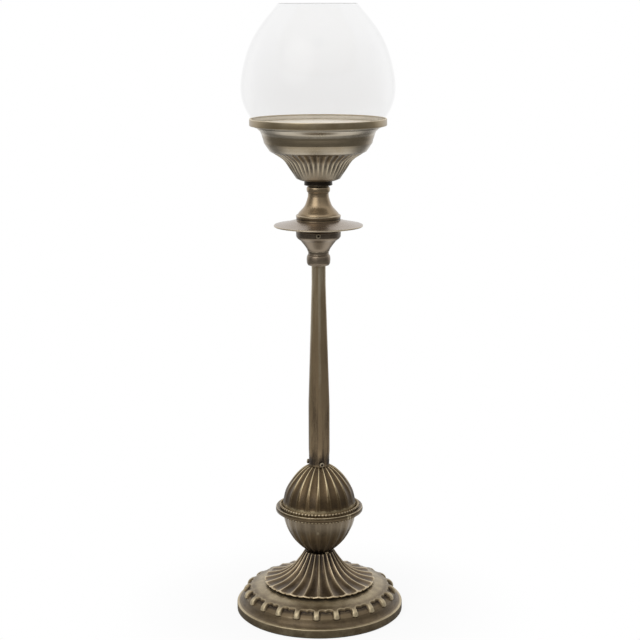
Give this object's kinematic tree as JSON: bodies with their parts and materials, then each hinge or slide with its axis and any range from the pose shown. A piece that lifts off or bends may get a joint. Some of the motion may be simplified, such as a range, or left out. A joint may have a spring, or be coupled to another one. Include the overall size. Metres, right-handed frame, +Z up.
{
  "type": "candle stand",
  "caption": "Tall antique-bronze candle stand: lugged round foot, fluted ball, tapered six-sided column, drip disc and fluted bowl whose tray carries a loose clear glass globe over a candle.",
  "frame": {"origin": "on the table under the stand's axis", "axes": "+Z up along the axis, the front of the picture faces -Y"},
  "size_m": [0.16, 0.16, 0.5777],
  "materials": {
    "bronze": "antique bronze, dark in the hollows and rubbed pale on the ridges, satin",
    "column_bronze": "dark antique bronze, satin",
    "screw": "bronzed steel",
    "steel": "plain steel, hidden inside",
    "felt": "dark felt",
    "glass": "clear, polished"
  },
  "bodies": {
    "stand": {"felt_pad": "felt", "base": "bronze", "base_washer": "steel", "base_nut": "steel", "tie_rod": "steel", "skirt_spacer": "steel", "skirt": "bronze", "lower_half_ball": "bronze", "ball_spacer": "steel", "upper_half_ball": "bronze", "ball_hoop": "bronze", "lower_bead_wire": "bronze", "upper_bead_wire": "bronze", "column": "column_bronze", "column_foot_bush": "steel", "column_top_bush": "steel", "column_screw_1": "screw", "column_screw_2": "screw", "column_screw_3": "screw", "lower_collar": "bronze", "collar_screw_1": "screw", "collar_screw_2": "screw", "collar_screw_3": "screw", "drip_disc": "bronze", "spindle": "bronze", "fluted_cup": "bronze", "bowl_spacer": "steel", "bowl": "bronze", "tray": "bronze", "tray_nut": "steel"},
    "glass": {"glass_globe": "glass"}
  },
  "joints": [
    {"name": "glass_lift", "type": "slide", "parent": "stand", "child": "glass", "axis": [0, 0, 1], "range_m": [0, 0.12]}
  ]
}
